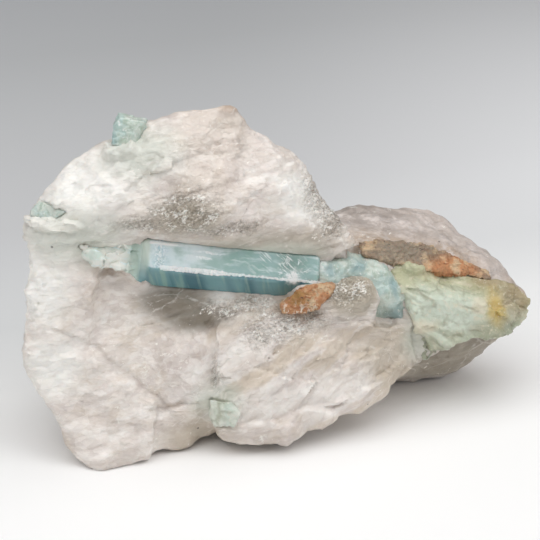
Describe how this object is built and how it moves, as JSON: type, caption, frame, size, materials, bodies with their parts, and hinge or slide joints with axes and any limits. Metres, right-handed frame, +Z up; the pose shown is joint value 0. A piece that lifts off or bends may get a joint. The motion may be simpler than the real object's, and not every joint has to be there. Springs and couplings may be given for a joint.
{
  "type": "aquamarine crystal in quartz matrix",
  "caption": "Mineral hand specimen: a blue-green hexagonal aquamarine prism lying across a broken block of milky quartz, with pale green beryl and rusty feldspar.",
  "frame": {"origin": "on the surface that the specimen stands on, under the middle of its bounding box", "axes": "+Z up, +X along the specimen's length towards its low tapering end, +Y from the crystal's side to the back"},
  "size_m": [0.132, 0.074, 0.082],
  "materials": {
    "milky_quartz": "broken milky quartz, waxy to glassy, with veils and sparkling granular patches",
    "aquamarine": "translucent blue-green beryl with lengthwise and cross striations and frosty chipped edges",
    "green_beryl": "massive pale green weathered beryl, waxy, stained yellow and brown",
    "rust_feldspar": "iron-stained feldspar, rough and earthy"
  },
  "bodies": {
    "root": {"quartz_matrix": "milky_quartz", "aquamarine_prism": "aquamarine", "aquamarine_far_end": "aquamarine", "green_beryl_mass": "green_beryl", "beryl_stub": "aquamarine", "beryl_sliver": "aquamarine", "beryl_chip": "green_beryl", "feldspar_seam": "rust_feldspar", "feldspar_patch": "rust_feldspar"}
  },
  "joints": []
}
